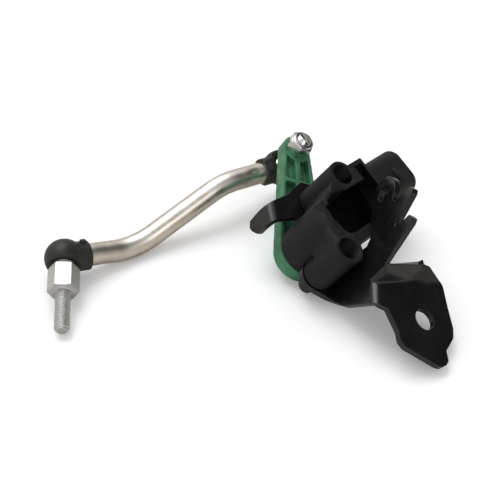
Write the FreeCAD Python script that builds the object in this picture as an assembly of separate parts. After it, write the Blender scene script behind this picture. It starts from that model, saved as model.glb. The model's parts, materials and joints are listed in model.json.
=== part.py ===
import FreeCAD, Part
import math
import os
from FreeCAD import Placement, Rotation, Vector

os.makedirs("parts", exist_ok=True)

# Ride height sensor: a moulded sensor body on a stamped steel bracket, a plastic lever on
# the sensor's shaft, and a link with a ball joint at each end.
#
# The body, bracket and lever are drawn in the sensor's own frame. z runs along the shaft,
# from the lever to the open back of the body, with z = 0 on the back rim. y is the way
# that the plug leaves. The lower tube's bore is at x = 0, y = 0.

# How the sensor lies, as turns about the upright, the cross and the long axis. The settle turn
# then brings the lever's hub and the link down on the surface.
TURN = -41.4
LEAN = 36.2
ROLL = -1.4
SETTLE_LEAN = -5.0

# Levels along the shaft
POT_TOP = -14.0
POT_THICK = 3.0
BOARD_THICK = 1.6
PARTITION = 1.4
ROTOR_END_GAP = 0.5
ROTOR_THICK = 3.0
BUSH_LENGTH = 4.4
SEAL_THICK = 1.2
PLATE_STANDOFF = 23.4
LEVER_GAP = 0.9
HUB_FACE_GAP = 0.3
LEVER_THICK = 6.4
SHAFT_PROUD = 0.4

BOARD_TOP = POT_TOP - POT_THICK
CAVITY_FLOOR = BOARD_TOP - BOARD_THICK
CHAMBER_TOP = CAVITY_FLOOR - PARTITION
ROTOR_TOP = CHAMBER_TOP - ROTOR_END_GAP
ROTOR_END = ROTOR_TOP - ROTOR_THICK
BUSH_TOP = ROTOR_END - ROTOR_END_GAP
BUSH_END = BUSH_TOP - BUSH_LENGTH
BARREL_END = BUSH_END - SEAL_THICK
LEVER_NEAR = BARREL_END - LEVER_GAP
LEVER_FAR = LEVER_NEAR - LEVER_THICK

# Sensor body
TUBE_BORE_R = 4.43
TUBE_DEPTH = 18.0
TUBE_BACK_R = 6.0
TUBE_FRONT_R = 6.5
TUBE_EDGE = 1.0
TUBE_1 = Vector(-25.6, 22.9, 0)
TUBE_2 = Vector(0, 0, 0)
BARREL_R = 10.9
BARREL_TOP_R = 8.4
BARREL_EDGE = 0.6
BARREL_SHOULDER = -5.0
BARREL_TOP = -0.8
RIM_WALL = 1.3
WEB_FOOT = -15.0
CHAMBER_R = 7.2
PIVOT = Vector(-11.7, 8.6, 0)
BODY_LEFT = -27.8
BODY_RIGHT = 0.3
BODY_WALL = 1.8
CAVITY_LEFT = -19.6
CAVITY_TOP = 36.0
CAVITY_STEP = 31.2
CAVITY_EDGE = [(-20.3, 18.0), (-21.1, 12.2), (-21.1, 9.5), (-20.1, 6.8), (-18.3, 5.9), (-18.3, 3.6),
               (-15.8, 3.8), (-13.5, 3.0), (-10.6, 3.6), (-6.8, 4.1), (-4.8, 5.3), (-3.8, 7.6)]
LEFT_SHOULDER = 5.6
LEFT_SHOULDER_Y = 13.6
BODY_TOP = CAVITY_TOP + 1.5
CAVITY_RIGHT = BODY_RIGHT - 4.0
SEAL_GROOVE = 1.2
SEAL_GROOVE_DEPTH = 2.0
LEDGE_DEPTH = 4.0

# Plug socket
SHROUD_WIDTH = 20.6
SHROUD_HEIGHT = 15.0
SHROUD_CORNER = 6.0
SHROUD_WALL = 1.8
SHROUD_END = 61.0
SHROUD_MID_X = -15.5
SHROUD_DROP = 2.2
SOCKET_DEPTH = 19.0
LATCH = Vector(5.0, 1.4, 1.2)
LATCH_Y = 51.5
STEP_RAISE = 1.1
STEP_LENGTH = 3.2
TERMINALS = 4
TERMINAL_PITCH = 3.4
TERMINAL_WIDTH = 1.5
TERMINAL_THICK = 0.64
TERMINAL_REACH = 12.0
TERMINAL_FOOT = 3.0
SHROUD_MID_Z = -SHROUD_DROP - SHROUD_HEIGHT / 2

# Circuit board parts
BOARD_GAP = 0.3
CHIP = Vector(5.0, 4.4, 1.1)
CAPACITOR = Vector(2.0, 1.25, 1.1)
CAPACITOR_PITCH = 5.0
CAPACITOR_Y = 24.0

# Shaft and its bearing
SHAFT_R = 3.0
SHAFT_FIT = 0.05
SEAL_FIT = 0.09
SEAL_R = 5.4
ROTOR_R = 5.6
MAGNET_R = 4.2
MAGNET_THICK = 1.4

# Lever
LEVER_LENGTH = 53.9
LEVER_ANGLE = 138.1
HUB_R = 10.8
TIP_R = 6.5
LEVER_WALL = 1.7
LEVER_SPINE = 2.4
POCKET_DEPTH = 3.8
RIB_WIDTH = 2.0
RIB_PITCH = 13.0
RIB_COUNT = 2
FIRST_RIB = 18.6
TIP_BOSS_R = 7.2
HUB_BOSS_R = 8.2
HUB_RAISED_R = 5.4

# Ball joints
BALL_R = 5.0
BALL_FIT = 0.06
STUD_R = 3.0
STUD_HOLE_GAP = 0.05
CUP_R = 8.1
CUP_RIM = 4.3
NECK_R = 2.9
FAR_BALL_DROP = 9.6
COLLAR_R = 4.7
COLLAR_THICK = 3.0
NUT_FLATS = 10.0
NUT_HEIGHT = 5.2
NUT_COLLAR_R = 4.3
NUT_COLLAR_HEIGHT = 1.0
STUD_END = 1.2
NEAR_STUD_LENGTH = 34.8
NEAR_HEX_START = 5.5
NEAR_HEX_END = 17.0
NEAR_HEX_FLATS = 11.0

# Link
LINK_LENGTH = 107.8
LINK_HEADING = 33.7
LINK_RISE = 5.3
LINK_TUBE_R = 4.8
LINK_TUBE_WALL = 0.9
BEND_R = 33.0
NEAR_TUBE_START = 6.6
FAR_TUBE_START = 6.6
LOW_BEND = 30.5
LOW_BEND_SAG = 9.6
HIGH_BEND = 77.0
HIGH_BEND_RISE = 3.9
CUP_COLLAR_R = 6.2
CUP_COLLAR_END = 9.9
STUD_HEADING = -83.4
STUD_FALL = 18.6

# Bracket
SHEET = 2.5
WALL_ANGLE = 41.8
WALL_OFFSET = 10.0
RIM_GAP = 0.6
FLANGE_Z = 1.6
FLANGE_HOLE = Vector(37.7, 5.2, 0)
FLANGE_HOLE_R = 4.25
LUG_S = 23.3
LUG_Z = 9.4
LUG_R = 7.5
LUG_HOLE_R = 3.2
BARREL_CLEAR = 0.5
TAB_LENGTH = 12.5
SCREW_R = 2.0
SCREW_HEAD_R = 3.8
SCREW_LENGTH = 7.0
TALL_HEAD_R = 3.4
TALL_HEAD = 7.0
PLATE_LOBE_R = 7.0
PLATE_LOBE_1_R = 8.0
PLATE_Z = -PLATE_STANDOFF - SHEET / 2

UP = Vector(0, 0, 1)


def at(point, z):
    return Vector(point.x, point.y, z)


def rod(radius, start, end):
    """A round bar between two points."""
    return Part.makeCylinder(radius, (end - start).Length, start, end - start)


def upright(radius, centre, low, high):
    return rod(radius, at(centre, low), at(centre, high))


def block(x0, x1, y0, y1, z0, z1):
    return Part.makeBox(x1 - x0, y1 - y0, z1 - z0, Vector(x0, y0, z0))


def slab(outline, low, high):
    """An outline of x, y corners, raised from low to high."""
    corners = [Vector(x, y, low) for x, y in outline]
    face = Part.Face(Part.makePolygon(corners + [corners[0]]))
    return face.extrude(UP * (high - low))


def sheet(corners):
    """A flat sheet panel whose middle surface has these corners."""
    normal = (corners[1] - corners[0]).cross(corners[2] - corners[0])
    normal.normalize()
    face = Part.Face(Part.makePolygon(corners + [corners[0]]))
    panel = face.extrude(normal * SHEET)
    panel.translate(normal * (-SHEET / 2))
    return panel


def bend(start, end):
    """The rounded outside of a fold between two panels."""
    return rod(SHEET / 2, start, end)


def hexagon(flats, axis_point, axis, length):
    radius = flats / math.sqrt(3)
    corners = [Vector(radius * math.cos(k * math.pi / 3), radius * math.sin(k * math.pi / 3), 0)
               for k in range(6)]
    prism = Part.Face(Part.makePolygon(corners + [corners[0]])).extrude(UP * length)
    # The flats end in the usual 30 degree turned chamfer.
    cap = radius - flats / 2
    turned = Part.makeCone(flats / 2 - cap * 0.2, radius + cap, cap, Vector(0, 0, 0), UP)
    turned = turned.fuse(Part.makeCylinder(radius + cap, length - 2 * cap, Vector(0, 0, cap), UP))
    turned = turned.fuse(Part.makeCone(radius + cap, flats / 2 - cap * 0.2, cap,
                                       Vector(0, 0, length - cap), UP))
    prism = prism.common(turned)
    prism.Placement = Placement(axis_point, Rotation(UP, axis))
    return prism


def round_slot(mid_x, mid_z, width, height, corner, y0, y1):
    """A rounded oblong, drawn across x and z, that runs from y0 to y1."""
    left, right = mid_x - width / 2, mid_x + width / 2
    low, high = mid_z - height / 2, mid_z + height / 2
    shape = block(left + corner, right - corner, y0, y1, low, high)
    shape = shape.fuse(block(left, right, y0, y1, low + corner, high - corner))
    for x in (left + corner, right - corner):
        for z in (low + corner, high - corner):
            shape = shape.fuse(Part.makeCylinder(corner, y1 - y0, Vector(x, y0, z), Vector(0, 1, 0)))
    return shape.removeSplitter()


def tray(gap):
    """The plan of the body's open back, drawn in by a gap."""
    top = CAVITY_TOP - LEDGE_DEPTH
    corners = [(CAVITY_LEFT, top), (CAVITY_LEFT, CAVITY_EDGE[0][1])] + CAVITY_EDGE
    corners.append((CAVITY_RIGHT, top))
    edge = Part.makePolygon([Vector(x, y, 0) for x, y in corners + corners[:1]])
    if gap:
        edge = edge.makeOffset2D(-gap, 2)
    return Part.Face(edge)


def tray_block(gap, low, high):
    shape = tray(gap).extrude(UP * (high - low))
    shape.translate(UP * low)
    return shape


def terminal_x(index):
    return SHROUD_MID_X + TERMINAL_PITCH * (index - (TERMINALS - 1) / 2)


def terminal(index):
    """One bent blade: a foot on the board, a leg in the ledge and a pin in the socket."""
    left = terminal_x(index) - TERMINAL_WIDTH / 2
    right = left + TERMINAL_WIDTH
    leg = CAVITY_TOP - LEDGE_DEPTH / 2
    pin_low = SHROUD_MID_Z - TERMINAL_THICK / 2
    tip = BODY_TOP + TERMINAL_REACH
    foot = block(left, right, leg - LEDGE_DEPTH / 2 - TERMINAL_FOOT, leg + TERMINAL_THICK,
                 BOARD_TOP, BOARD_TOP + TERMINAL_THICK)
    riser = block(left, right, leg, leg + TERMINAL_THICK, BOARD_TOP, pin_low + TERMINAL_THICK)
    pin = block(left, right, leg, tip, pin_low, pin_low + TERMINAL_THICK)
    return foot.fuse([riser, pin]).removeSplitter()


def board_part(size, x, y):
    return block(x - size.x / 2, x + size.x / 2, y - size.y / 2, y + size.y / 2,
                 BOARD_TOP, BOARD_TOP + size.z)


def capacitor(index):
    return board_part(CAPACITOR, SHROUD_MID_X + 2 + CAPACITOR_PITCH * index, CAPACITOR_Y)


def chip():
    return board_part(CHIP, PIVOT.x - 1, PIVOT.y + CHIP.y)


def body_shell():
    """The outside of the sensor body as one moulding."""
    shoulder_x = BODY_LEFT + LEFT_SHOULDER - 2
    flank = [(shoulder_x, LEFT_SHOULDER_Y), (PIVOT.x - BARREL_TOP_R, PIVOT.y), (PIVOT.x, PIVOT.y),
             (TUBE_2.x, TUBE_2.y), (BODY_RIGHT, TUBE_2.y + TUBE_BACK_R),
             (BODY_RIGHT, LEFT_SHOULDER_Y + 3), (TUBE_1.x, TUBE_1.y)]
    shell = slab(flank, CHAMBER_TOP, 0)
    # A web joins the barrel and the lower tube, and a thin wall stands round the open back.
    web = [(PIVOT.x, PIVOT.y - BARREL_R + 1.2), (TUBE_2.x - 1, TUBE_2.y - TUBE_BACK_R + 0.8),
           (TUBE_2.x, TUBE_2.y), (PIVOT.x, PIVOT.y)]
    shell = shell.fuse([slab(web, WEB_FOOT, -RIM_WALL), tray_block(-RIM_WALL, CHAMBER_TOP, 0)])
    box = [(BODY_LEFT, TUBE_1.y), (shoulder_x, LEFT_SHOULDER_Y), (BODY_RIGHT, LEFT_SHOULDER_Y),
           (BODY_RIGHT, BODY_TOP), (BODY_LEFT, BODY_TOP)]
    shell = shell.fuse(slab(box, CHAMBER_TOP, 0))
    barrel = upright(BARREL_R, PIVOT, BARREL_END, BARREL_SHOULDER)
    barrel = barrel.makeFillet(BARREL_EDGE, [edge_at(barrel, BARREL_END)])
    shell = shell.fuse([barrel, Part.makeCone(BARREL_R, BARREL_TOP_R, BARREL_TOP - BARREL_SHOULDER,
                                              at(PIVOT, BARREL_SHOULDER), UP)])
    for tube in (TUBE_1, TUBE_2):
        post = Part.makeCone(TUBE_FRONT_R, TUBE_BACK_R, PLATE_STANDOFF, at(tube, -PLATE_STANDOFF),
                             UP)
        shell = shell.fuse(post.makeFillet(TUBE_EDGE, [edge_at(post, -PLATE_STANDOFF)]))
    return shell


def plug_socket():
    """The oval shroud round the terminals, with its latch bar and the step at its root."""
    shroud = round_slot(SHROUD_MID_X, SHROUD_MID_Z, SHROUD_WIDTH, SHROUD_HEIGHT, SHROUD_CORNER,
                        CAVITY_TOP, SHROUD_END)
    face = -SHROUD_DROP
    bar = block(SHROUD_MID_X - LATCH.x / 2 + 1, SHROUD_MID_X + LATCH.x / 2 + 1,
                LATCH_Y - LATCH.y / 2, LATCH_Y + LATCH.y / 2, face - 1, face + LATCH.z)
    step = round_slot(SHROUD_MID_X, SHROUD_MID_Z, SHROUD_WIDTH + 2 * STEP_RAISE,
                      SHROUD_HEIGHT + 2 * STEP_RAISE, SHROUD_CORNER + STEP_RAISE,
                      CAVITY_TOP, BODY_TOP + STEP_LENGTH)
    return shroud.fuse([bar, step])


def housing():
    shape = body_shell().fuse(plug_socket())
    # The open back, with the notch beside the upper tube
    shape = shape.cut(tray_block(0, CAVITY_FLOOR, 1))
    shape = shape.cut(block(CAVITY_LEFT, CAVITY_RIGHT, CAVITY_STEP, CAVITY_TOP,
                            SHROUD_MID_Z + 3, 1))
    shape = shape.cut(block(BODY_LEFT + BODY_WALL, CAVITY_LEFT + 1, CAVITY_STEP, CAVITY_TOP,
                            POT_TOP, 1))
    for tube in (TUBE_1, TUBE_2):
        shape = shape.cut(upright(TUBE_BORE_R, tube, -TUBE_DEPTH, 1))
    # The barrel is bored from the lever's side for the rotor and the bush.
    shape = shape.cut(upright(CHAMBER_R, PIVOT, BUSH_END, CHAMBER_TOP))
    shape = shape.cut(upright(SEAL_R, PIVOT, BARREL_END - 1, BUSH_END))
    shape = shape.cut(round_slot(SHROUD_MID_X, SHROUD_MID_Z, SHROUD_WIDTH - 2 * SHROUD_WALL,
                                 SHROUD_HEIGHT - 2 * SHROUD_WALL, SHROUD_CORNER - SHROUD_WALL,
                                 SHROUD_END - SOCKET_DEPTH, SHROUD_END + 1))
    for index in range(TERMINALS):
        shape = shape.cut(terminal(index))
    for tube in (TUBE_1, TUBE_2):
        shape = shape.cut(upright(SCREW_R, tube, -PLATE_STANDOFF - 1, screw_tip()))
    return shape.removeSplitter()


def screw_tip():
    return PLATE_Z - SHEET / 2 + SCREW_LENGTH


def screw_head(place, radius, low):
    """The 90 degree cone of a countersunk head."""
    return Part.makeCone(radius, SCREW_R, radius - SCREW_R, at(place, low), UP)


def housing_screw(place, head=0):
    """A countersunk screw. The one beside the lever's hub has a tall head as well."""
    face = PLATE_Z - SHEET / 2
    screw = screw_head(place, SCREW_HEAD_R, face).fuse(upright(SCREW_R, place, face, screw_tip()))
    if head:
        cap = upright(TALL_HEAD_R, place, face - head, face)
        screw = screw.fuse(cap.makeFillet(BARREL_EDGE, [edge_at(cap, face - head)]))
    recess = upright(SCREW_R * 0.6, place, face - head - 1, face - head + 1.2)
    return screw.cut(recess).removeSplitter()


def edge_at(shape, z):
    """The round edge that lies at one level."""
    for edge in shape.Edges:
        box = edge.BoundBox
        if abs(box.ZMin - z) < 0.001 and abs(box.ZMax - z) < 0.001:
            return edge


def circuit_board():
    return tray_block(BOARD_GAP, CAVITY_FLOOR, BOARD_TOP)


def potting():
    fill = tray_block(0, CAVITY_FLOOR, POT_TOP)
    fill = fill.cut(circuit_board())
    fill = fill.cut(chip())
    for index in range(2):
        fill = fill.cut(capacitor(index))
    for index in range(TERMINALS):
        fill = fill.cut(terminal(index))
    return fill


def shaft():
    return upright(SHAFT_R, PIVOT, LEVER_FAR - SHAFT_PROUD, ROTOR_TOP)


def shaft_bush():
    return upright(CHAMBER_R, PIVOT, BUSH_END, BUSH_TOP).cut(
        upright(SHAFT_R + SHAFT_FIT, PIVOT, BUSH_END - 1, BUSH_TOP + 1))


def shaft_seal():
    return upright(SEAL_R, PIVOT, BARREL_END, BUSH_END).cut(
        upright(SHAFT_R + SEAL_FIT, PIVOT, BARREL_END - 1, BUSH_END + 1))


def ring_magnet():
    low = ROTOR_TOP - MAGNET_THICK
    return upright(MAGNET_R, PIVOT, low, ROTOR_TOP).cut(
        upright(SHAFT_R, PIVOT, low - 1, ROTOR_TOP + 1))


def rotor_carrier():
    body = upright(ROTOR_R, PIVOT, ROTOR_END, ROTOR_TOP)
    body = body.cut(upright(SHAFT_R, PIVOT, ROTOR_END - 1, ROTOR_TOP + 1))
    return body.cut(upright(MAGNET_R, PIVOT, ROTOR_TOP - MAGNET_THICK, ROTOR_TOP + 1))


def half_width(along):
    """Half the lever's width at a distance from the pivot."""
    slope = (HUB_R - TIP_R) / LEVER_LENGTH
    return (HUB_R - slope * along) / math.sqrt(1 - slope * slope)


def lever_place():
    return Placement(PIVOT, Rotation(UP, LEVER_ANGLE))


def lever_tip():
    return lever_place().multVec(Vector(LEVER_LENGTH, 0, 0))


def lever_arm():
    """Drawn along x from the pivot, then turned to where it rests."""
    origin, tip = Vector(0, 0, 0), Vector(LEVER_LENGTH, 0, 0)
    slope = (HUB_R - TIP_R) / LEVER_LENGTH
    across = math.sqrt(1 - slope * slope)
    blade = [(HUB_R * slope, HUB_R * across), (HUB_R * slope, -HUB_R * across),
             (LEVER_LENGTH + TIP_R * slope, -TIP_R * across),
             (LEVER_LENGTH + TIP_R * slope, TIP_R * across)]
    arm = slab(blade, LEVER_FAR, LEVER_NEAR)
    arm = arm.fuse([upright(HUB_R, origin, LEVER_FAR, LEVER_NEAR),
                    upright(TIP_R, tip, LEVER_FAR, LEVER_NEAR)])
    arm = arm.removeSplitter()
    keep = upright(HUB_BOSS_R, origin, LEVER_FAR, LEVER_NEAR + 1).fuse(
        upright(TIP_BOSS_R, tip, LEVER_FAR, LEVER_NEAR + 1))
    rib_places = [LEVER_LENGTH - FIRST_RIB - RIB_PITCH * k for k in range(RIB_COUNT)]
    starts = [0.0] + [place + RIB_WIDTH / 2 for place in reversed(rib_places)]
    ends = [place - RIB_WIDTH / 2 for place in reversed(rib_places)] + [LEVER_LENGTH]
    for side in (1, -1):
        for start, end in zip(starts, ends):
            bay = [(start, side * LEVER_SPINE / 2), (end, side * LEVER_SPINE / 2),
                   (end, side * (half_width(end) - LEVER_WALL)),
                   (start, side * (half_width(start) - LEVER_WALL))]
            pocket = slab(bay, LEVER_NEAR - POCKET_DEPTH, LEVER_NEAR + 1).cut(keep)
            arm = arm.cut(pocket)
    arm = arm.fuse(upright(HUB_RAISED_R, origin, LEVER_NEAR, BARREL_END - HUB_FACE_GAP))
    arm = arm.cut(upright(SHAFT_R, origin, LEVER_FAR - 1, BARREL_END))
    arm = arm.cut(upright(STUD_R + STUD_HOLE_GAP, tip, LEVER_FAR - 1, LEVER_NEAR + 1))
    arm.Placement = lever_place()
    return arm


def far_ball():
    return at(lever_tip(), LEVER_FAR - FAR_BALL_DROP)


def far_ball_stud():
    """Ball, neck, collar and thread, turned from one bar."""
    tip, ball = lever_tip(), far_ball()
    collar_low = LEVER_FAR - COLLAR_THICK
    thread_end = LEVER_NEAR + NUT_HEIGHT + NUT_COLLAR_HEIGHT + STUD_END
    shape = Part.makeSphere(BALL_R, ball)
    shape = shape.fuse([upright(NECK_R, tip, ball.z, collar_low),
                        upright(COLLAR_R, tip, collar_low, LEVER_FAR),
                        upright(STUD_R, tip, LEVER_FAR, thread_end)])
    return shape.removeSplitter()


def lock_nut():
    tip = lever_tip()
    nut = hexagon(NUT_FLATS, at(tip, LEVER_NEAR), UP, NUT_HEIGHT)
    top = LEVER_NEAR + NUT_HEIGHT
    nut = nut.fuse(upright(NUT_COLLAR_R, tip, top, top + NUT_COLLAR_HEIGHT))
    return nut.cut(upright(STUD_R, tip, LEVER_NEAR - 1, top + NUT_COLLAR_HEIGHT + 1))


# The link is drawn from its near ball, with x towards the far ball and z upwards.


def cup(mouth, collar_line, fin):
    """A moulded socket round a ball at the origin, open along mouth, with a collar for the tube."""
    centre = Vector(0, 0, 0)
    shape = Part.makeSphere(CUP_R, centre, mouth)
    shape = shape.fuse(rod(CUP_COLLAR_R, Vector(0, 0, 0), collar_line * CUP_COLLAR_END))
    if fin:
        shape = shape.fuse(fin)
    # The mouth is cut off flat and lets the neck swing.
    trim = Part.makeCylinder(2 * CUP_R, 2 * CUP_R, mouth * CUP_RIM, mouth)
    shape = shape.cut(trim)
    flare = Part.makeCone(BALL_R * 0.76, BALL_R * 1.05, CUP_RIM + 0.4, mouth * 0.2, mouth)
    hollow = Part.makeSphere(BALL_R + BALL_FIT, centre, mouth).fuse(flare)
    return shape.cut(hollow)


def link_points():
    """The tube's middle line: its two ends and the two corners that its bends round."""
    near_end = Vector(LOW_BEND, 0, -LOW_BEND_SAG).normalize() * NEAR_TUBE_START
    low = Vector(LOW_BEND, 0, -LOW_BEND_SAG)
    high = Vector(HIGH_BEND, 0, HIGH_BEND_RISE)
    far_line = (high - Vector(LINK_LENGTH, 0, 0)).normalize()
    far_end = Vector(LINK_LENGTH, 0, 0) + far_line * FAR_TUBE_START
    return near_end, low, high, far_end


def link_wire():
    near_end, low, high, far_end = link_points()
    edges = []
    start = near_end
    for before, corner, after in ((near_end, low, high), (low, high, far_end)):
        back = (before - corner).normalize()
        ahead = (after - corner).normalize()
        half = back.getAngle(ahead) / 2
        run = BEND_R / math.tan(half)
        first, last = corner + back * run, corner + ahead * run
        middle = corner + (back + ahead).normalize() * (BEND_R / math.sin(half) - BEND_R)
        edges += [Part.LineSegment(start, first).toShape(), Part.Arc(first, middle, last).toShape()]
        start = last
    edges.append(Part.LineSegment(start, far_end).toShape())
    return Part.Wire(edges)


def tube_along(wire, radius):
    start = wire.Edges[0].valueAt(wire.Edges[0].FirstParameter)
    ahead = wire.Edges[0].tangentAt(wire.Edges[0].FirstParameter)
    profile = Part.Wire(Part.makeCircle(radius, start, ahead))
    return wire.makePipeShell([profile], True, True)


def link_tube():
    wire = link_wire()
    return tube_along(wire, LINK_TUBE_R).cut(tube_along(wire, LINK_TUBE_R - LINK_TUBE_WALL))


def cup_with_tube_seat(mouth, ball, tube_end, toward, fin=None):
    shape = cup(mouth, toward, fin)
    shape.translate(ball)
    # The tube's end is moulded into the collar.
    return shape.cut(rod(LINK_TUBE_R, tube_end, tube_end + toward * CUP_COLLAR_END))


def near_socket(mouth):
    near_end, low, high, far_end = link_points()
    toward = Vector(near_end).normalize()
    fin = block(CUP_COLLAR_END - 3.6, CUP_COLLAR_END - 1.4, -0.8, 0.8, LINK_TUBE_R + 0.4,
                CUP_COLLAR_R + 1.3)
    fin.rotate(Vector(0, 0, 0), Vector(0, 1, 0), math.degrees(math.atan2(LOW_BEND_SAG, LOW_BEND)))
    return cup_with_tube_seat(mouth, Vector(0, 0, 0), near_end, toward, fin)


def far_socket(mouth):
    near_end, low, high, far_end = link_points()
    ball = Vector(LINK_LENGTH, 0, 0)
    return cup_with_tube_seat(mouth, ball, far_end, (far_end - ball).normalize())


def near_ball_stud():
    """Ball, neck, hexagon and thread, turned from one bar, drawn along z from the ball."""
    shape = Part.makeSphere(BALL_R)
    shape = shape.fuse(upright(NECK_R, Vector(0, 0, 0), 0, NEAR_HEX_START))
    shape = shape.fuse(hexagon(NEAR_HEX_FLATS, Vector(0, 0, NEAR_HEX_START), UP,
                               NEAR_HEX_END - NEAR_HEX_START))
    thread = upright(STUD_R, Vector(0, 0, 0), NEAR_HEX_END, NEAR_STUD_LENGTH)
    thread = thread.makeChamfer(0.8, [edge_at(thread, NEAR_STUD_LENGTH)])
    return shape.fuse(thread)


# The bracket is one stamped sheet. Its wall stands along the shaft's axis: s runs along
# the wall and z up it.


def wall_point(s, z):
    angle = math.radians(WALL_ANGLE)
    out = Vector(math.cos(angle), math.sin(angle), 0)
    along = Vector(-math.sin(angle), math.cos(angle), 0)
    return out * WALL_OFFSET + along * s + UP * z


def flat(points, z):
    return [Vector(x, y, z) for x, y in points]


PLATE_S_LOW = -9.0
PLATE_S_HIGH = 6.0
FOLD_S_LOW = -21.5
FOLD_S_HIGH = -12.2
LIP_S = -10.0
LIP_Z = 8.5
PEAK = Vector(21.3, 20.3, 7.0)


def wall_panel():
    """The upright wall, with the two prongs and the lug that reaches over the body's rim."""
    outline = [(PLATE_S_LOW, PLATE_Z), (-13.7, -17.6), (FOLD_S_LOW, FLANGE_Z), (FOLD_S_HIGH, FLANGE_Z),
               (LIP_S, LIP_Z), (0.5, 25.2), (2.0, 26.4), (4.2, 24.9), (3.2, 18.0), (3.8, 16.5),
               (5.5, 16.7), (12.8, 26.9), (14.4, 27.4), (16.3, 26.0), (15.3, 17.2), (16.2, 16.0),
               (18.6, 15.1), (LUG_S, LUG_Z + LUG_R - 1), (LUG_S, LUG_Z - LUG_R + 0.3),
               (17.0, RIM_GAP), (7.4, RIM_GAP), (5.2, -1.8), (PLATE_S_HIGH, PLATE_Z)]
    panel = sheet([wall_point(s, z) for s, z in outline])
    angle = math.radians(WALL_ANGLE)
    out = Vector(math.cos(angle), math.sin(angle), 0) * (SHEET / 2)
    centre = wall_point(LUG_S, LUG_Z)
    panel = panel.fuse(rod(LUG_R, centre - out, centre + out))
    return panel.cut(rod(LUG_HOLE_R, centre - out * 2, centre + out * 2))


def plate_panel():
    """The plate under the tubes, with its cut-out round the barrel."""
    low, high = wall_point(PLATE_S_LOW, 0), wall_point(PLATE_S_HIGH, 0)
    reach = math.atan2(low.y, low.x) - math.acos(PLATE_LOBE_R / math.hypot(low.x, low.y))
    touch = (PLATE_LOBE_R * math.cos(reach), PLATE_LOBE_R * math.sin(reach))
    outline = [(TUBE_2.x - 1, TUBE_2.y), touch, (low.x, low.y), (high.x, high.y),
               (high.x, TUBE_1.y - 6), (-7.0, TUBE_1.y + 3), (-19.0, TUBE_1.y + 10),
               (-30.0, TUBE_1.y + 10), (-36.2, TUBE_1.y + 2.5), (-34.4, 14.8), (-24.1, 10.9)]
    panel = sheet(flat(outline, PLATE_Z))
    under, over = PLATE_Z - SHEET / 2, PLATE_Z + SHEET / 2
    panel = panel.fuse([upright(PLATE_LOBE_R, TUBE_2, under, over),
                        upright(PLATE_LOBE_1_R, TUBE_1, under, over)])
    panel = panel.cut(upright(BARREL_R + BARREL_CLEAR, PIVOT, under - 1, over + 1))
    for tube in (TUBE_1, TUBE_2):
        panel = panel.cut(upright(SCREW_R, tube, under - 1, over + 1))
        panel = panel.cut(screw_head(tube, SCREW_HEAD_R, under))
    return panel


def tongue():
    """The strip that crosses the lever, with its end folded down as the lever's stop."""
    fold_left, fold_right = Vector(-35.2, 2.4, PLATE_Z), Vector(-28.0, -1.2, PLATE_Z)
    strip = flat([(-34.4, 14.8), (-35.1, 9.0)], PLATE_Z) + [fold_left, fold_right]
    strip += flat([(-27.5, 2.4), (-24.1, 10.9)], PLATE_Z)
    width = fold_right - fold_left
    down = Vector(0, 0, -1)
    tab = [fold_left, fold_left + width * 0.06 + down * (TAB_LENGTH - 0.6),
           fold_left + width * 0.35 + down * (TAB_LENGTH + 1.0),
           fold_left + width * 0.62 + down * TAB_LENGTH,
           fold_left + width * 0.97 + down * (TAB_LENGTH - 3.0), fold_right]
    return sheet(strip).fuse([sheet(tab), bend(fold_left, fold_right)])


def flange():
    """The mounting flange with its bolt hole, its notch and its blunt tip."""
    start, end = wall_point(FOLD_S_HIGH, 0), wall_point(FOLD_S_LOW, 0)
    outline = [(start.x, start.y), (end.x, end.y), (25.9, -6.5), (34.3, -9.2), (37.6, -11.5),
               (40.4, -11.5), (52.9, -4.6), (54.6, -3.0), (55.1, -0.8), (54.6, 1.4), (51.4, 3.8),
               (50.8, 7.0), (49.9, 11.0), (47.4, 14.2), (39.9, 19.4), (32.1, 25.3), (28.2, 18.1),
               (22.9, 13.4)]
    panel = sheet(flat(outline, FLANGE_Z))
    return panel.cut(upright(FLANGE_HOLE_R, FLANGE_HOLE, FLANGE_Z - SHEET, FLANGE_Z + SHEET))


def stiffening_lip():
    """The turned-up facets that join the flange's far edge to the wall."""
    top = wall_point(LIP_S, LIP_Z)
    foot = wall_point(FOLD_S_HIGH, FLANGE_Z)
    inner, middle, outer = flat([(22.9, 13.4), (28.2, 18.1), (32.1, 25.3)], FLANGE_Z)
    shape = None
    for corners in ((top, foot, inner), (top, inner, PEAK), (PEAK, inner, middle),
                    (PEAK, middle, outer)):
        facet = sheet(list(corners))
        shape = facet if shape is None else shape.fuse(facet)
    for start, end in ((top, foot), (foot, inner), (inner, PEAK), (inner, middle), (middle, PEAK),
                       (middle, outer), (top, inner)):
        shape = shape.fuse(bend(start, end))
    for corner in (foot, inner, middle, top):
        shape = shape.fuse(Part.makeSphere(SHEET / 2, corner))
    return shape


def bracket():
    shape = wall_panel().fuse([plate_panel(), tongue(), flange(), stiffening_lip()])
    shape = shape.fuse([bend(wall_point(PLATE_S_LOW, PLATE_Z), wall_point(PLATE_S_HIGH, PLATE_Z)),
                        bend(wall_point(FOLD_S_LOW, FLANGE_Z), wall_point(FOLD_S_HIGH, FLANGE_Z))])
    shape = shape.cut(upright(BARREL_R + BARREL_CLEAR, PIVOT, PLATE_Z - SHEET, -PLATE_STANDOFF))
    return shape.removeSplitter()


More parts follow.
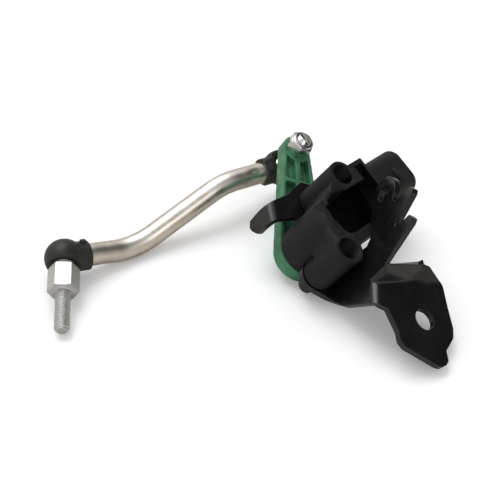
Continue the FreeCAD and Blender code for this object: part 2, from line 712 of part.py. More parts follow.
def sensor_pieces():
    """Everything that is drawn in the sensor's frame."""
    pieces = {"housing": housing(), "bracket": bracket(), "housing_screw_1": housing_screw(TUBE_1),
              "housing_screw_2": housing_screw(TUBE_2, TALL_HEAD), "circuit_board": circuit_board(),
              "sensor_chip": chip(), "potting": potting(), "shaft": shaft(),
              "shaft_bush": shaft_bush(), "shaft_seal": shaft_seal(),
              "ring_magnet": ring_magnet(), "rotor_carrier": rotor_carrier(),
              "lever_arm": lever_arm(), "far_ball_stud": far_ball_stud(), "lock_nut": lock_nut()}
    for index in range(2):
        pieces["capacitor_%d" % (index + 1)] = capacitor(index)
    for index in range(TERMINALS):
        pieces["terminal_%d" % (index + 1)] = terminal(index)
    return pieces


def link_pieces(lying):
    """The link and its stud, placed from the lever's ball."""
    turn = Rotation(UP, LINK_HEADING).multiply(Rotation(Vector(0, 1, 0), -LINK_RISE))
    ball = lying.multVec(far_ball())
    near = ball - turn.multVec(Vector(LINK_LENGTH, 0, 0))
    place = Placement(near, turn)
    heading, fall = math.radians(STUD_HEADING), math.radians(STUD_FALL)
    stud_line = Vector(math.cos(heading) * math.cos(fall), math.sin(heading) * math.cos(fall),
                       -math.sin(fall))
    back = turn.inverted()
    lever_side = lying.Rotation.multVec(UP)
    pieces = {"link_tube": link_tube(), "near_socket": near_socket(back.multVec(stud_line)),
              "far_socket": far_socket(back.multVec(lever_side))}
    for shape in pieces.values():
        shape.Placement = place.multiply(shape.Placement)
    stud = near_ball_stud()
    stud.Placement = Placement(near, Rotation(UP, stud_line))
    pieces["near_ball_stud"] = stud
    return pieces


def lowest_and_middle(shapes):
    """How far the pieces must move for the middle of their footprint to be the origin."""
    points = [point for shape in shapes for point in shape.tessellate(0.02)[0]]
    xs, ys, zs = [p.x for p in points], [p.y for p in points], [p.z for p in points]
    return Vector(-(min(xs) + max(xs)) / 2, -(min(ys) + max(ys)) / 2, -min(zs))


def main():
    lying = Placement(Vector(0, 0, 0), Rotation(TURN, LEAN, ROLL))
    pieces = sensor_pieces()
    for shape in pieces.values():
        shape.Placement = lying.multiply(shape.Placement)
    pieces.update(link_pieces(lying))
    settle = Placement(Vector(0, 0, 0), Rotation(Vector(1, 0, 0), SETTLE_LEAN))
    for shape in pieces.values():
        shape.Placement = settle.multiply(shape.Placement)
    shift = lowest_and_middle(pieces.values())
    for name, shape in pieces.items():
        shape.translate(shift)
        shape.exportStep("parts/%s.step" % name)
    print("origin of the sensor's frame", shift)


main()
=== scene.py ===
import bpy
import bmesh
import json
import math
from mathutils import Matrix, Vector


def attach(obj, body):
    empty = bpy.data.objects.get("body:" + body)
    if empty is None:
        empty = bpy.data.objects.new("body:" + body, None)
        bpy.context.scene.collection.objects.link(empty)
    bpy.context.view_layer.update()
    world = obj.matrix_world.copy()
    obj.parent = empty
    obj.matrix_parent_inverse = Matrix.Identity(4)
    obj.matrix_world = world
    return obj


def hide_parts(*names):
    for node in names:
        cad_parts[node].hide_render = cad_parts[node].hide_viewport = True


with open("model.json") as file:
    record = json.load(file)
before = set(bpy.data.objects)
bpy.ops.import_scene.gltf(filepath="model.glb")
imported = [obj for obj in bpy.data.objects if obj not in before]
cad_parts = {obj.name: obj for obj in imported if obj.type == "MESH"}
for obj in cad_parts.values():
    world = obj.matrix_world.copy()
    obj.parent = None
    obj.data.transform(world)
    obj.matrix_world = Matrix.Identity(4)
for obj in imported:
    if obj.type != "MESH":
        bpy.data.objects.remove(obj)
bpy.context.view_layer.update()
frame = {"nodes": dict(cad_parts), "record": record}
MM = 0.001

# Where the sensor's own frame lies: z runs along the shaft, y the way that the plug leaves.
mounts = {mount["name"]: mount for mount in frame["record"]["mounts"]}
joints = {joint["name"]: joint for joint in frame["record"]["behaviour"]["joints"]}
shaft_line = Vector(joints["lever_pivot"]["axis"]).normalized()
plug_line = Vector(mounts["plug_socket"]["axis"]).normalized()
TUBE_BORE_MIDDLE = 9.0
sensor_origin = Vector(mounts["lower_tube_bore"]["pos_m"]) + shaft_line * TUBE_BORE_MIDDLE * MM
across_line = plug_line.cross(shaft_line)
sensor_place = Matrix((across_line, plug_line, shaft_line)).transposed().to_4x4()
sensor_place.translation = sensor_origin

near_ball = Vector(joints["stud_turn"]["pos_m"])
far_ball = Vector(joints["link_swing"]["pos_m"])
stud_line = Vector(joints["stud_turn"]["axis"]).normalized()


# Materials


def colour(hexa):
    """An sRGB hex colour as linear light."""
    parts = [int(hexa[i:i + 2], 16) / 255 for i in (0, 2, 4)]
    return [c / 12.92 if c <= 0.04045 else ((c + 0.055) / 1.055) ** 2.4 for c in parts] + [1.0]


def add_node(material, kind, settings=None, inputs=None):
    """Adds one node, sets its properties and fills or links its inputs."""
    tree = material.node_tree
    node = tree.nodes.new(kind)
    for name, value in (settings or {}).items():
        setattr(node, name, value)
    for name, value in (inputs or {}).items():
        if isinstance(value, bpy.types.NodeSocket):
            tree.links.new(value, node.inputs[name])
        else:
            node.inputs[name].default_value = value
    return node


def new_material(name, **settings):
    """A material with one principled shader, and its Object coordinates in millimetres."""
    material = bpy.data.materials.new(name)
    material.use_nodes = True
    shader = material.node_tree.nodes["Principled BSDF"]
    for key, value in settings.items():
        socket = key.replace("_", " ").title().replace("Ior", "IOR")
        shader.inputs[socket].default_value = value
    spot = add_node(material, "ShaderNodeTexCoord")
    scaled = add_node(material, "ShaderNodeMapping", None,
                      {"Vector": spot.outputs["Object"], "Scale": (1000, 1000, 1000)})
    return material, shader, scaled.outputs["Vector"]


def grain(material, where, size_mm, detail=3.0, rough=0.5):
    """Noise whose lumps are about size_mm across."""
    return add_node(material, "ShaderNodeTexNoise", None,
                    {"Vector": where, "Scale": 1 / size_mm, "Detail": detail,
                     "Roughness": rough}).outputs["Fac"]


def spread(material, value, low, high, start=0.3, end=0.7):
    """Maps a pattern's middle range onto low to high."""
    return add_node(material, "ShaderNodeMapRange", None,
                    {"Value": value, "From Min": start, "From Max": end,
                     "To Min": low, "To Max": high}).outputs["Result"]


def two_tone(material, value, dark, light):
    """Blends two hex colours by a 0 to 1 value."""
    mix = add_node(material, "ShaderNodeMix", {"data_type": "RGBA"}, {"Factor": value})
    mix.inputs[6].default_value = colour(dark)
    mix.inputs[7].default_value = colour(light)
    return mix.outputs[2]


def link(material, value, socket):
    """Feeds a value into a socket."""
    material.node_tree.links.new(value, socket)


def vary_colour(material, shader, pattern, dark, light):
    """Lets a pattern blend the surface between two hex colours."""
    share = spread(material, pattern, 0, 1)
    link(material, two_tone(material, share, dark, light), shader.inputs["Base Color"])


def vary_roughness(material, shader, pattern, low, high):
    """Lets a pattern spread the roughness from low to high."""
    link(material, spread(material, pattern, low, high), shader.inputs["Roughness"])


def emboss(material, shader, pattern, depth_mm, edge_mm=0.0):
    """Raises a pattern by a real depth, over edges that are rounded by edge_mm."""
    bump = add_node(material, "ShaderNodeBump", None,
                    {"Height": pattern, "Distance": depth_mm * MM, "Strength": 1.0})
    if edge_mm:
        edges = add_node(material, "ShaderNodeBevel", {"samples": 6}, {"Radius": edge_mm * MM})
        link(material, edges.outputs["Normal"], bump.inputs["Normal"])
    link(material, bump.outputs["Normal"], shader.inputs["Normal"])


def moulded(name, dark, light, roughness, grit_mm, grit_depth, edge_mm, shine=0.3):
    """A moulded, cast or fired surface: dull and slightly clouded, with a fine even grit."""
    material, shader, where = new_material(name, roughness=roughness, specular_ior_level=shine)
    vary_colour(material, shader, grain(material, where, 6.0, 4.0), dark, light)
    grit = grain(material, where, grit_mm, 4.0, 0.65)
    vary_roughness(material, shader, grit, roughness - 0.08, roughness + 0.1)
    emboss(material, shader, grit, grit_depth, edge_mm)
    return material


def satin_metal(name, dark, light, roughness, edge_mm, scratch_mm=0.25):
    """Turned or stamped metal: satin, with a faint cloudy bloom and fine scratches."""
    material, shader, where = new_material(name, metallic=1.0, roughness=roughness)
    bloom = grain(material, where, 1.6, 5.0, 0.6)
    vary_colour(material, shader, bloom, dark, light)
    vary_roughness(material, shader, bloom, roughness - 0.07, roughness + 0.09)
    emboss(material, shader, grain(material, where, scratch_mm, 3.0), 0.02, edge_mm)
    return material


def coated_sheet_steel():
    """Pressed steel under a black dip coat: near-black and glossy, with a slight orange peel."""
    material, shader, where = new_material("black_dip_coated_steel", roughness=0.24, ior=1.5,
                                           coat_weight=0.2, coat_roughness=0.12,
                                           specular_ior_level=0.4)
    cloud = grain(material, where, 9.0, 3.0)
    vary_colour(material, shader, cloud, "0f1011", "151617")
    vary_roughness(material, shader, cloud, 0.2, 0.3)
    emboss(material, shader, grain(material, where, 1.3, 2.0), 0.002, 0.6)
    return material


def satin_stainless():
    """Drawn stainless tube, linished lengthways: bright and satin, with warm reflections."""
    material, shader, where = new_material("linished_stainless_tube", metallic=1.0,
                                           roughness=0.3)
    cloud = grain(material, where, 5.0, 4.0)
    vary_colour(material, shader, cloud, "d8cfc4", "ebe5dd")
    vary_roughness(material, shader, cloud, 0.25, 0.35)
    emboss(material, shader, grain(material, where, 0.5, 2.0), 0.01)
    return material


# After its two colours, a moulded surface has its roughness, then its grit's size and depth and
# its edges' radius in mm. A metal has its roughness, its edges' radius and its scratches' size.
finishes = {
    "sensor_black": moulded("moulded_black_nylon", "161617", "1d1d1e", 0.6, 0.5, 0.1, 0.25, 0.24),
    "painted_steel": coated_sheet_steel(),
    "zinc_steel": satin_metal("zinc_plated_steel", "c6c7c7", "dcdddc", 0.52, 0.25),
    "potting_resin": moulded("poured_black_resin", "050506", "08080a", 0.35, 2.0, 0.02, 0.2),
    "board": moulded("green_circuit_board", "1e3f28", "28502f", 0.4, 1.0, 0.02, 0.1),
    "ceramic": moulded("fired_ceramic", "9a8464", "b59d7c", 0.5, 0.3, 0.02, 0.1),
    "terminal_brass": satin_metal("tinned_brass_blade", "a98f58", "c4ab74", 0.3, 0.15),
    "bush_bronze": satin_metal("sintered_bronze", "86653a", "a37f4d", 0.45, 0.2),
    "seal_rubber": moulded("moulded_nitrile_rubber", "131313", "1b1b1b", 0.75, 0.4, 0.03, 0.3),
    "socket_black": moulded("moulded_black_acetal", "242521", "2e2f2b", 0.42, 0.5, 0.02, 0.4),
    "magnet_grey": moulded("bonded_ferrite", "3c3d3f", "4b4c4e", 0.55, 0.3, 0.02, 0.2),
    # Painted shade: a near-black nylon for the insides of the bores and the open back, where shadow
    # falls.
    "painted_shade_black": moulded("black_nylon_with_painted_shade", "040405", "060607", 0.5, 0.8, 0.02, 0.3, 0.15),
    "lever_green": moulded("moulded_green_nylon", "3a6a4d", "4d8a66", 0.42, 0.45, 0.03, 0.35),
    "stainless_tube": satin_stainless(),
}
# The lock nut and the far stud are the same zinc-plated steel as the free stud, made smoother, and
# their lighter colour is painted highlight for the light that falls on them.
zinc_painted_highlight = satin_metal("bright_zinc_plated_nut", "e0e0e2", "f2f2f2", 0.22, 0.3, 0.6)
slot_of = {piece["node"]: piece["material_slot"] for piece in frame["record"]["subparts"]}
for node_name, solid in frame["nodes"].items():
    solid.data.materials.clear()
    solid.data.materials.append(finishes[slot_of[node_name]])


# Pieces


def finish_piece(mesh_work, name, slot, body, replaced, smooth_deg=40, finish=None):
    """Turns a bmesh into an object that rides on a body and stands for CAD nodes."""
    mesh = bpy.data.meshes.new(name)
    mesh_work.to_mesh(mesh)
    mesh_work.free()
    mesh.materials.append(finish or finishes[slot])
    piece = bpy.data.objects.new(name, mesh)
    bpy.context.scene.collection.objects.link(piece)
    mesh.shade_smooth()
    mesh.set_sharp_from_angle(angle=math.radians(smooth_deg))
    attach(piece, body)
    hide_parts(*replaced)
    return piece


def copy_of(node_name):
    """The CAD node's mesh, with its loose triangles joined."""
    work = bmesh.new()
    work.from_mesh(frame["nodes"][node_name].data)
    bmesh.ops.remove_doubles(work, verts=work.verts, dist=0.002 * MM)
    return work


def to_scene(work, place):
    """Scales a piece drawn in millimetres to metres and sets it in its place."""
    bmesh.ops.scale(work, vec=(MM, MM, MM), verts=work.verts)
    bmesh.ops.transform(work, matrix=place, verts=work.verts)


# The body's two screw tubes, then where painted shade darkens the body: a bore's radius and the
# open back's sides. All are in the sensor's frame in millimetres.
TUBES = ((0, 0), (-25.6, 22.9))
SHADED_BORE_R = 4.6
BORE_TOP = -0.4
BACK_LEFT, BACK_RIGHT = -21.4, -4.4
BACK_LOW, BACK_HIGH = 2.7, 36.2
BACK_TOP = -0.5


def moulded_body():
    """The housing. Its bores and its open back are painted darker: painted shade for the shadow
    deep inside them.
    """
    work = copy_of("housing")
    to_sensor = sensor_place.inverted()
    for face in work.faces:
        spot = to_sensor @ face.calc_center_median() / MM
        near_bore = min((spot.xy - Vector(tube)).length for tube in TUBES)
        in_bore = spot.z < BORE_TOP and near_bore < SHADED_BORE_R
        in_back = (BACK_LEFT < spot.x < BACK_RIGHT and BACK_LOW < spot.y < BACK_HIGH
                   and spot.z < BACK_TOP)
        # Faces inside a bore or the open back take the painted shade.
        if in_bore or in_back:
            face.material_index = 1
    body = finish_piece(work, "moulded_body", "sensor_black", "sensor", ("housing",), 28)
    body.data.materials.append(finishes["painted_shade_black"])


moulded_body()

LEVER_SKIN = 0.36
LEVER_ROUNDS = 3


def ribbed_lever():
    """The lever: a skin of small even faces over its CAD, relaxed so that its edges are rounded."""
    piece = finish_piece(copy_of("lever_arm"), "ribbed_lever", slot_of["lever_arm"], "lever",
                         ("lever_arm",))
    skin = piece.modifiers.new("skin", "REMESH")
    skin.mode = "VOXEL"
    skin.voxel_size = LEVER_SKIN * MM
    skin.use_smooth_shade = True
    relax = piece.modifiers.new("relax", "SMOOTH")
    relax.factor = 0.5
    relax.iterations = LEVER_ROUNDS


ribbed_lever()

# The bracket is drawn as the middle surface of its sheet, in the sensor's frame in millimetres.
# Its folds are rounded first, then the holes are cut and the sheet gets its thickness.
SHEET = 2.5
PLATE_LEVEL = -24.65
FLANGE_LEVEL = 1.6
WALL_TURN = math.radians(41.8)
WALL_OFFSET = 10.0
FOLD_R = 5.0
LIP_FOLD_R = 1.9
SHELL_LIMIT = 1.12  # how much further out than half the sheet a corner may go
SCREW_SEAT_R = 3.85
LUG_R, LUG_HOLE_R = 7.5, 3.2
BOLT_HOLE_R = 4.25
barrel_middle = (-11.7, 8.6)
lug_middle = (23.3, 9.4)
bolt_hole_middle = (37.7, 5.2)


def on_wall(s, z):
    """A point of the upright wall: s runs along it and z up it."""
    out = Vector((math.cos(WALL_TURN), math.sin(WALL_TURN), 0)) * WALL_OFFSET
    along = Vector((-math.sin(WALL_TURN), math.cos(WALL_TURN), 0))
    return out + along * s + Vector((0, 0, z))


def arc(middle, radius, start, stop, steps):
    """Points round a circle, from one angle to another in degrees."""
    angles = [math.radians(start + (stop - start) * k / steps) for k in range(steps + 1)]
    return [(middle[0] + radius * math.cos(a), middle[1] + radius * math.sin(a)) for a in angles]


def level(points, z):
    """Flat points, all at one height."""
    return [Vector((x, y, z)) for x, y in points]


def key_of(corner):
    """What tells one corner of the sheet from another."""
    return tuple(round(c, 3) for c in corner)


def cut_holes(work, normal, holes):
    """Fills the flat face that holds these circles again, with the circles left open."""
    for face in work.faces:
        face.normal_update()
    middle = sum(holes[0], Vector()) / len(holes[0])
    flat_on = [face for face in work.faces if abs(face.normal.dot(normal)) > 0.999
               and abs((middle - face.verts[0].co).dot(normal)) < 0.01]
    panel = max(flat_on, key=lambda face: face.calc_area())
    edges = list(panel.edges)
    bmesh.ops.delete(work, geom=[panel], context="FACES_ONLY")
    for hole in holes:
        ring = [work.verts.new(point) for point in hole]
        edges += [work.edges.new(pair) for pair in zip(ring, ring[1:] + ring[:1])]
    bmesh.ops.triangle_fill(work, use_beauty=True, edges=edges, normal=normal)


def thicken(work, thickness):
    """Gives an open surface an even thickness, half to each side."""
    bmesh.ops.recalc_face_normals(work, faces=work.faces)
    work.normal_update()
    half = {vert: vert.normal * min(vert.calc_shell_factor(), SHELL_LIMIT) * thickness / 2
            for vert in work.verts}
    rim = [edge for edge in work.edges if edge.is_boundary]
    faces = list(work.faces)
    under = {vert: work.verts.new(vert.co - step) for vert, step in half.items()}
    for vert, step in half.items():
        vert.co += step
    for face in faces:
        work.faces.new([under[vert] for vert in reversed(face.verts)])
    for edge in rim:
        start, end = edge.verts
        work.faces.new((start, end, under[end], under[start]))
    bmesh.ops.recalc_face_normals(work, faces=work.faces)


def pressed_bracket():
    """The bracket: wall, plate, tab and flange round their outlines, then the lip's facets."""
    fold_low, fold_high = on_wall(-9.0, PLATE_LEVEL), on_wall(6.0, PLATE_LEVEL)
    foot, heel = on_wall(-12.2, FLANGE_LEVEL), on_wall(-21.5, FLANGE_LEVEL)
    top, peak = on_wall(-10.0, 8.5), Vector((21.3, 20.3, 7.0))
    inner, middle, outer = level([(22.9, 13.4), (28.2, 18.1), (32.1, 25.3)], FLANGE_LEVEL)
    stop_left, stop_right = level([(-35.2, 2.4), (-28.0, -1.2)], PLATE_LEVEL)
    wall = [on_wall(-13.7, -17.6), heel, foot, top]
    wall += [on_wall(s, z) for s, z in [
        (0.5, 25.2), (2.0, 26.4), (4.2, 24.9), (3.2, 18.0), (3.8, 16.5), (5.5, 16.7), (12.8, 26.9),
        (14.4, 27.4), (16.3, 26.0), (15.3, 17.2), (16.2, 16.0)]
        + arc(lug_middle, LUG_R, 129.5, -96, 20) + [(17.0, 0.6), (7.4, 0.6), (5.2, -1.8)]]
    wall += [fold_high, fold_low]
    plate = [fold_low] + level(arc((0, 0), 7.0, -58.8, -166.0, 10)
                               + arc(barrel_middle, 11.4, -64.5, 171.1, 26)[1:]
                               + [(-24.1, 10.9), (-27.5, 2.4)], PLATE_LEVEL)
    plate += [stop_right, stop_left]
    plate += level([(-35.1, 9.0), (-34.4, 14.8), (-36.2, 25.4), (-30.0, 32.9), (-19.0, 32.9),
                    (-7.0, 25.9), (fold_high.x, 16.9)], PLATE_LEVEL) + [fold_high]
    width = stop_right - stop_left
    tab = [stop_left] + [stop_left + width * share - Vector((0, 0, drop)) for share, drop in
                         ((0.06, 11.9), (0.35, 13.5), (0.62, 12.5), (0.97, 9.5))] + [stop_right]
    flange = [foot, heel] + level([
        (25.9, -6.5), (34.3, -9.2), (37.6, -11.5), (40.4, -11.5), (52.9, -4.6), (54.6, -3.0),
        (55.1, -0.8), (54.6, 1.4), (51.4, 3.8), (50.8, 7.0), (49.9, 11.0), (47.4, 14.2),
        (39.9, 19.4)], FLANGE_LEVEL) + [outer, middle, inner]
    facets = [(top, foot, inner), (top, inner, peak), (peak, inner, middle), (peak, middle, outer)]
    work = bmesh.new()
    made = {}
    for corners in [wall, plate, tab, flange] + facets:
        ring = []
        for corner in corners:
            key = key_of(corner)
            if key not in made:
                made[key] = work.verts.new(corner)
            ring.append(made[key])
        work.faces.new(ring)
    bmesh.ops.recalc_face_normals(work, faces=work.faces)

    def between(start, end):
        return work.edges.get([made[key_of(corner)] for corner in (start, end)])

    wide = [between(fold_low, fold_high), between(stop_left, stop_right)]
    narrow = [between(*pair) for pair in ((foot, heel), (foot, top), (foot, inner), (inner, top),
                                          (inner, peak), (inner, middle), (middle, outer))]
    for edges, offset, rounds in ((wide, FOLD_R, 10), (narrow, LIP_FOLD_R, 6)):
        bmesh.ops.bevel(work, geom=edges, offset=offset, segments=rounds, profile=0.5,
                        affect="EDGES", material=-1)
    wall_normal = on_wall(0, 0).normalized()
    lug_hole = [on_wall(s, z) for s, z in arc(lug_middle, LUG_HOLE_R, 0, 345, 23)]
    cut_holes(work, wall_normal, [lug_hole])
    cut_holes(work, Vector((0, 0, 1)),
              [level(arc(bolt_hole_middle, BOLT_HOLE_R, 0, 350, 35), FLANGE_LEVEL)])
    cut_holes(work, Vector((0, 0, 1)), [level(arc(tube, SCREW_SEAT_R, 0, 345, 23), PLATE_LEVEL)
                                        for tube in TUBES])
    thicken(work, SHEET)
    to_scene(work, sensor_place)
    piece = finish_piece(work, "pressed_bracket", "painted_steel", "sensor", ("bracket",), 35)
    flat_faces = piece.modifiers.new("flat_faces", "WEIGHTED_NORMAL")
    flat_faces.keep_sharp = True


pressed_bracket()

# Painted highlight: the lock nut and the far stud take the lighter copy of the zinc.
for nut_piece in ("lock_nut", "far_ball_stud"):
    finish_piece(copy_of(nut_piece), "bright_" + nut_piece, "zinc_steel", "lever", (nut_piece,),
                 25, zinc_painted_highlight)


def straight(work, ring, run, steps):
    """Draws a ring of edges along a straight run."""
    made = bmesh.ops.spin(work, geom=ring, cent=(0, 0, 0), axis=(0, 1, 0), angle=0.0,
                          steps=steps, dvec=run / steps)
    return [part for part in made["geom_last"] if isinstance(part, bmesh.types.BMEdge)]


def swept(work, ring, centre, angle, steps):
    """Draws a ring of edges round a bend in the link's upright plane."""
    made = bmesh.ops.spin(work, geom=ring, cent=centre, axis=(0, 1, 0), angle=angle, steps=steps)
    return [part for part in made["geom_last"] if isinstance(part, bmesh.types.BMEdge)]


# The link is drawn with x from its near ball to its far ball and z upwards. Its bends lie in a
# plane that stood upright before the sensor was tipped back to settle on the floor.
SETTLE = math.radians(5.0)
link_along = (far_ball - near_ball).normalized()
link_up = Vector((0, math.sin(SETTLE), math.cos(SETTLE)))
link_side = link_up.cross(link_along).normalized()
link_place = Matrix((link_along, link_side, link_along.cross(link_side))).transposed().to_4x4()
link_place.translation = near_ball
link_length = (far_ball - near_ball).length / MM
TUBE_R = 4.8
TUBE_BEND_R = 33.0
TUBE_START = 6.6
low_corner = Vector((30.5, 0, -9.6))
high_corner = Vector((77.0, 0, 3.9))


def bent_link_tube():
    """The link: a tube with two opposite bends, crimped into a socket at each end."""
    far_end = Vector((link_length, 0, 0))
    first = low_corner.normalized()
    middle = (high_corner - low_corner).normalized()
    last = (far_end - high_corner).normalized()
    start = first * TUBE_START
    stop = far_end - last * TUBE_START
    low_turn = first.angle(middle)
    high_turn = middle.angle(last)
    low_run = TUBE_BEND_R * math.tan(low_turn / 2)
    high_run = TUBE_BEND_R * math.tan(high_turn / 2)
    work = bmesh.new()
    made = bmesh.ops.create_circle(work, segments=64, radius=TUBE_R)
    facing = Vector((0, 0, 1)).rotation_difference(first).to_matrix().to_4x4()
    bmesh.ops.transform(work, matrix=Matrix.Translation(start) @ facing, verts=made["verts"])
    ring = list(work.edges)
    low_start = low_corner - first * low_run
    low_centre = low_start + Vector((-first.z, 0, first.x)) * TUBE_BEND_R
    high_start = high_corner - middle * high_run
    high_centre = high_start - Vector((-middle.z, 0, middle.x)) * TUBE_BEND_R
    ring = straight(work, ring, low_start - start, 24)
    ring = swept(work, ring, low_centre, -low_turn, 24)
    ring = straight(work, ring, high_start - (low_corner + middle * low_run), 30)
    ring = swept(work, ring, high_centre, high_turn, 24)
    ring = straight(work, ring, stop - (high_corner + last * high_run), 24)
    # Each crimp leaves a shallow dent beside its socket, on the side that faces the viewer.
    for root, way, along, aside, depth, reach in (
            (start, first, 9.5, Vector((0, -3.6, -2.6)), 0.4, 2.2),
            (stop, last, -7.5, Vector((0, -3.4, 3.2)), 0.45, 2.6)):
        dent = root + way * along + aside
        for vert in work.verts:
            near = (vert.co - dent).length
            if near < 3 * reach:
                offset = vert.co - root
                inward = -(offset - way * offset.dot(way)).normalized()
                vert.co += inward * depth * math.exp(-(near / reach) ** 2)
    to_scene(work, link_place)
    bmesh.ops.recalc_face_normals(work, faces=work.faces)
    finish_piece(work, "bent_link_tube", "stainless_tube", "link", ("link_tube",), 60)


bent_link_tube()

THREAD_PITCH = 1.0
THREAD_DEPTH = 0.61
THREAD_STEPS = 40
STUD_R = 3.0
STUD_CHAMFER = 0.9
HEX_END = 17.0
NEAR_STUD_LENGTH = 34.8


def cut_flat(work, spot, kept_way, slack):
    """Cuts a piece off at a plane, keeps the side that kept_way points to, and closes the cut."""
    cut = bmesh.ops.bisect_plane(work, geom=work.verts[:] + work.edges[:] + work.faces[:],
                                 plane_co=spot, plane_no=kept_way, clear_inner=True, dist=slack)
    rim = [part for part in cut["geom_cut"] if isinstance(part, bmesh.types.BMEdge)]
    bmesh.ops.contextual_create(work, geom=rim)


def threaded_rod(low, high):
    """A rolled thread along z: a zigzag line turned once, rising by one pitch."""
    work = bmesh.new()
    turns = int((high - low) / THREAD_PITCH) + 2
    corners = []
    for turn in range(turns + 1):
        z = low - THREAD_PITCH + turn * THREAD_PITCH
        for share, depth in ((0.0, 0.0), (0.12, 0.0), (0.44, THREAD_DEPTH), (0.62, THREAD_DEPTH)):
            corners.append(work.verts.new((STUD_R - depth, 0, z + share * THREAD_PITCH)))
    edges = [work.edges.new(pair) for pair in zip(corners, corners[1:])]
    bmesh.ops.spin(work, geom=corners + edges, cent=(0, 0, 0), axis=(0, 0, 1),
                   angle=2 * math.pi, steps=THREAD_STEPS, dvec=(0, 0, THREAD_PITCH / THREAD_STEPS))
    bmesh.ops.remove_doubles(work, verts=work.verts, dist=0.002)
    cut_flat(work, (0, 0, low), (0, 0, 1), 0.0005)
    cut_flat(work, (0, 0, high), (0, 0, -1), 0.0005)
    for vert in work.verts:
        limit = STUD_R - max(0.0, vert.co.z - (high - STUD_CHAMFER))
        radius = math.hypot(vert.co.x, vert.co.y)
        if radius > limit:
            vert.co.x *= limit / radius
            vert.co.y *= limit / radius
    bmesh.ops.recalc_face_normals(work, faces=work.faces)
    return work


def put(work, origin, line):
    """Scales a piece drawn along z to metres and stands it on a line."""
    turn = Vector((0, 0, 1)).rotation_difference(line).to_matrix().to_4x4()
    place = Matrix.Translation(origin) @ turn @ Matrix.Scale(MM, 4)
    bmesh.ops.transform(work, matrix=place, verts=work.verts)


def free_stud():
    """The link's free stud: the plain ball, neck and hexagon, then a rolled thread."""
    work = copy_of("near_ball_stud")
    cut_flat(work, near_ball + stud_line * (HEX_END + 0.05) * MM, -stud_line, 0.0005 * MM)
    rod = threaded_rod(HEX_END - 0.5, NEAR_STUD_LENGTH)
    put(rod, near_ball, stud_line)
    scratch = bpy.data.meshes.new("thread")
    rod.to_mesh(scratch)
    rod.free()
    work.from_mesh(scratch)
    bpy.data.meshes.remove(scratch)
    finish_piece(work, "free_ball_stud", "zinc_steel", "stud", ("near_ball_stud",), 25)


free_stud()


# Stage


def stage_floor():
    """White paper under the object, which reflects darker in shiny surfaces."""
    work = bmesh.new()
    bmesh.ops.create_grid(work, x_segments=1, y_segments=1, size=3.0)
    mesh = bpy.data.meshes.new("studio_floor")
    work.to_mesh(mesh)
    work.free()
    floor = bpy.data.objects.new("studio_floor", mesh)
    bpy.context.scene.collection.objects.link(floor)
    material, shader, _ = new_material("white_studio_paper", roughness=0.9)
    mirrored = add_node(material, "ShaderNodeLightPath").outputs["Is Glossy Ray"]
    link(material, two_tone(material, mirrored, "fafafb", "c9c5be"), shader.inputs["Base Color"])
    seen = add_node(material, "ShaderNodeLightPath").outputs["Is Camera Ray"]
    link(material, spread(material, seen, 0.0, 0.1, 0.0, 1.0), shader.inputs["Emission Strength"])
    shader.inputs["Emission Color"].default_value = (1.0, 1.0, 1.0, 1.0)
    shader.inputs["Specular IOR Level"].default_value = 0.0
    mesh.materials.append(material)


stage_floor()


def patch(world, way, aim, start, end, outside, inside):
    """A round soft-edged area of the room, one value outside it and another inside."""
    toward = add_node(world, "ShaderNodeVectorMath", {"operation": "DOT_PRODUCT"},
                      {0: way, 1: Vector(aim).normalized()})
    return spread(world, toward.outputs["Value"], outside, inside, start, end)


ROOM_LIGHT = 0.67


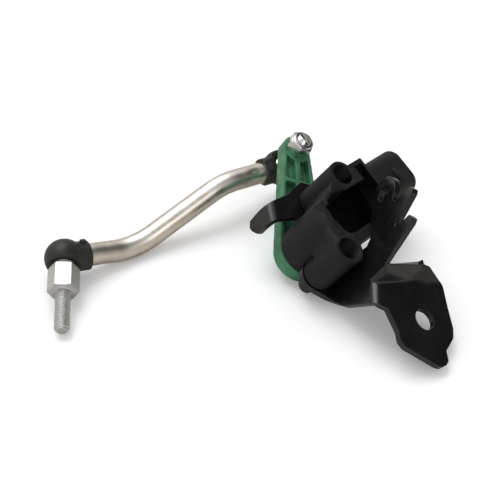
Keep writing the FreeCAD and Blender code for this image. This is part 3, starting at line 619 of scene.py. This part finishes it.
def studio_world():
    """White room light. Shiny surfaces see it warmer near the floor, and dark at the right."""
    world = bpy.data.worlds.new("studio")
    bpy.context.scene.world = world
    world.use_nodes = True
    background = world.node_tree.nodes["Background"]
    way = add_node(world, "ShaderNodeTexCoord").outputs["Generated"]
    height = add_node(world, "ShaderNodeSeparateXYZ", None, {"Vector": way}).outputs["Z"]
    room = two_tone(world, spread(world, height, 0, 1, 0.0, 0.6), "fff0e2", "ffffff")
    shade = patch(world, way, (0.82, 0.3, 0.5), 0.62, 0.92, outside=0.85, inside=0.08)
    for aim, start, end, gain in (((-0.25, 0.35, 0.9), 0.7, 0.95, 0.9),
                                  ((-0.95, -0.1, 0.3), 0.8, 0.97, 0.5)):
        shade = add_node(world, "ShaderNodeMath", {"operation": "ADD"}, {
            0: shade, 1: patch(world, way, aim, start, end, 0.0, gain)}).outputs["Value"]
    shiny = add_node(world, "ShaderNodeLightPath").outputs["Is Glossy Ray"]
    strength = add_node(world, "ShaderNodeMix", {"data_type": "FLOAT"},
                        {"Factor": shiny, "A": 1.0, "B": shade}).outputs["Result"]
    tint = add_node(world, "ShaderNodeMix", {"data_type": "RGBA"}, {"Factor": shiny})
    tint.inputs[6].default_value = (1.0, 1.0, 1.0, 1.0)
    link(world, room, tint.inputs[7])
    link(world, tint.outputs[2], background.inputs["Color"])
    power = add_node(world, "ShaderNodeMath", {"operation": "MULTIPLY"},
                     {0: strength, 1: ROOM_LIGHT}).outputs["Value"]
    link(world, power, background.inputs["Strength"])


studio_world()


def soft_lamp(name, place, target, size, power):
    """A square lamp of one size in metres and one power in watts, turned to a target."""
    lamp = bpy.data.lights.new(name, "AREA")
    lamp.shape = "SQUARE"
    lamp.size = size
    lamp.energy = power
    light = bpy.data.objects.new(name, lamp)
    bpy.context.scene.collection.objects.link(light)
    light.location = place
    light.rotation_euler = (Vector(target) - Vector(place)).to_track_quat("-Z", "Y").to_euler()


soft_lamp("top_softbox", place=(-0.35, 0.45, 1.3), target=(0, 0, 0), size=0.9, power=8.5)
soft_lamp("front_fill", place=(0.6, -1.3, 0.8), target=(0, 0, 0.02), size=0.8, power=3.0)

# The camera stands where the photograph's did: 39 degrees above the floor, square to x.
CAMERA_FROM_SENSOR = Vector((-37.44, -233.47, 188.36))
CAMERA_ELEVATION = 39.0
FOCAL_PIXELS = 800.0
FRAME_PIXELS = 500.0
SENSOR_WIDTH = 36.0
camera_data = bpy.data.cameras.new("camera")
camera_data.sensor_width = SENSOR_WIDTH
camera_data.lens = SENSOR_WIDTH * FOCAL_PIXELS / FRAME_PIXELS
camera_data.clip_start = 0.01
camera = bpy.data.objects.new("camera", camera_data)
bpy.context.scene.collection.objects.link(camera)
camera.location = sensor_origin + CAMERA_FROM_SENSOR * MM
camera.rotation_euler = (math.radians(90 - CAMERA_ELEVATION), 0, 0)
bpy.context.scene.camera = camera
bpy.context.scene.view_settings.view_transform = "Standard"

bpy.context.view_layer.update()
